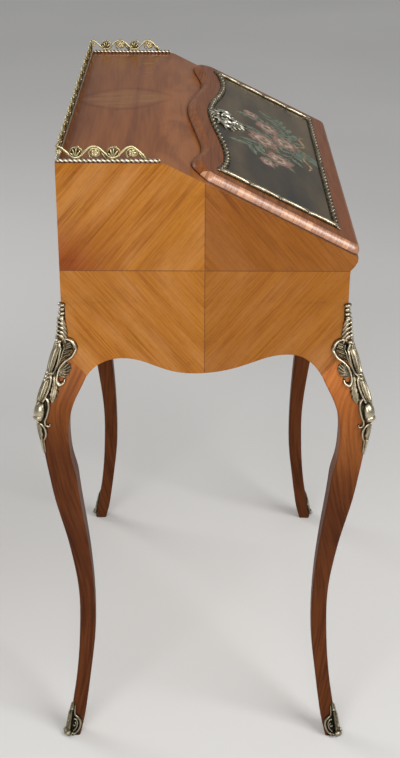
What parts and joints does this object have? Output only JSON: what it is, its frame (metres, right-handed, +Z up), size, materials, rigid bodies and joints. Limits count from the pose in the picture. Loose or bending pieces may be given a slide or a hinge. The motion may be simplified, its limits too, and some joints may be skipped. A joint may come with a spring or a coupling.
{
  "type": "writing desk",
  "caption": "Slant-fall lady's writing desk on cabriole legs, veneered, with brass gallery, mounts and sabots, a framed picture panel on the fall, frieze drawer and lopers.",
  "frame": {"origin": "on the floor, under the middle of the case", "axes": "+Z up, +X to the sitter's right across the width, -Y towards the sitter at the front of the desk"},
  "size_m": [0.7364, 0.4864, 0.9747],
  "materials": {
    "case_veneer": "quarter-matched straight-grained veneer, french polished",
    "leg_wood": "red-brown solid wood, french polished",
    "inner_wood": "plain oak, waxed",
    "nest_wood": "veneered, polished",
    "gilt_brass": "aged lacquered brass, dark in its hollows",
    "lock_steel": "bright steel, slightly tarnished",
    "picture_varnish": "dark painted ground under aged gloss varnish",
    "writing_leather": "green tooled leather"
  },
  "bodies": {
    "case": {"side_panel_right": "case_veneer", "side_panel_left": "case_veneer", "back_panel": "case_veneer", "front_frame": "case_veneer", "top_board": "case_veneer", "writing_deck": "case_veneer", "deck_leather": "writing_leather", "dust_board": "inner_wood", "drawer_guides": "inner_wood", "loper_housings": "inner_wood", "leg_back_right": "leg_wood", "leg_back_left": "leg_wood", "leg_front_right": "leg_wood", "leg_front_left": "leg_wood", "knee_mount_back_right": "gilt_brass", "knee_mount_back_left": "gilt_brass", "knee_mount_front_right": "gilt_brass", "knee_mount_front_left": "gilt_brass", "sabot_back_right": "gilt_brass", "sabot_back_left": "gilt_brass", "sabot_front_right": "gilt_brass", "sabot_front_left": "gilt_brass", "gallery_back": "gilt_brass", "gallery_right": "gilt_brass", "gallery_left": "gilt_brass", "hinge_leaves_deck": "gilt_brass", "hinge_pins": "lock_steel", "hinge_screws_deck": "lock_steel", "fall_lock_staple": "lock_steel", "nest_shelf": "nest_wood", "nest_dividers": "nest_wood"},
    "fall": {"fall_board": "case_veneer", "fall_picture_panel": "picture_varnish", "fall_moulding_bottom": "gilt_brass", "fall_moulding_right": "gilt_brass", "fall_moulding_left": "gilt_brass", "fall_moulding_top": "gilt_brass", "fall_escutcheon": "gilt_brass", "fall_leather": "writing_leather", "hinge_leaves_fall": "gilt_brass", "hinge_screws_fall": "lock_steel", "fall_lock_case": "lock_steel"},
    "fall_bolt": {"fall_lock_bolt": "lock_steel"},
    "frieze_drawer": {"drawer_front": "case_veneer", "drawer_sides": "inner_wood", "drawer_bottom": "inner_wood", "drawer_back": "inner_wood", "drawer_escutcheon": "gilt_brass", "drawer_lock": "lock_steel", "drawer_handle_posts": "gilt_brass"},
    "bail_left": {"drawer_bail_left": "gilt_brass"},
    "bail_right": {"drawer_bail_right": "gilt_brass"},
    "loper_left": {"loper_left": "inner_wood", "loper_knob_left": "gilt_brass"},
    "loper_right": {"loper_right": "inner_wood", "loper_knob_right": "gilt_brass"},
    "small_drawer_left": {"small_drawer_left": "nest_wood", "small_knob_left": "gilt_brass"},
    "small_drawer_right": {"small_drawer_right": "nest_wood", "small_knob_right": "gilt_brass"}
  },
  "joints": [
    {"name": "fall_hinge", "type": "hinge", "parent": "case", "child": "fall", "pos_m": [0, -0.211, 0.8175], "axis": [1, 0, 0], "range_deg": [0, 153.4]},
    {"name": "fall_bolt_slide", "type": "slide", "parent": "fall", "child": "fall_bolt", "axis": [1, 0, 0], "range_m": [0, 0.008]},
    {"name": "frieze_drawer_slide", "type": "slide", "parent": "case", "child": "frieze_drawer", "axis": [0, -1, 0], "range_m": [0, 0.27]},
    {"name": "bail_left_swing", "type": "hinge", "parent": "frieze_drawer", "child": "bail_left", "pos_m": [-0.13, -0.208, 0.747], "axis": [-1, 0, 0], "range_deg": [0, 95]},
    {"name": "bail_right_swing", "type": "hinge", "parent": "frieze_drawer", "child": "bail_right", "pos_m": [0.13, -0.208, 0.747], "axis": [-1, 0, 0], "range_deg": [0, 95]},
    {"name": "loper_left_slide", "type": "slide", "parent": "case", "child": "loper_left", "axis": [0, -1, 0], "range_m": [0, 0.19]},
    {"name": "loper_right_slide", "type": "slide", "parent": "case", "child": "loper_right", "axis": [0, -1, 0], "range_m": [0, 0.19]},
    {"name": "small_drawer_left_slide", "type": "slide", "parent": "case", "child": "small_drawer_left", "axis": [0, -1, 0], "range_m": [0, 0.09]},
    {"name": "small_drawer_right_slide", "type": "slide", "parent": "case", "child": "small_drawer_right", "axis": [0, -1, 0], "range_m": [0, 0.09]}
  ]
}
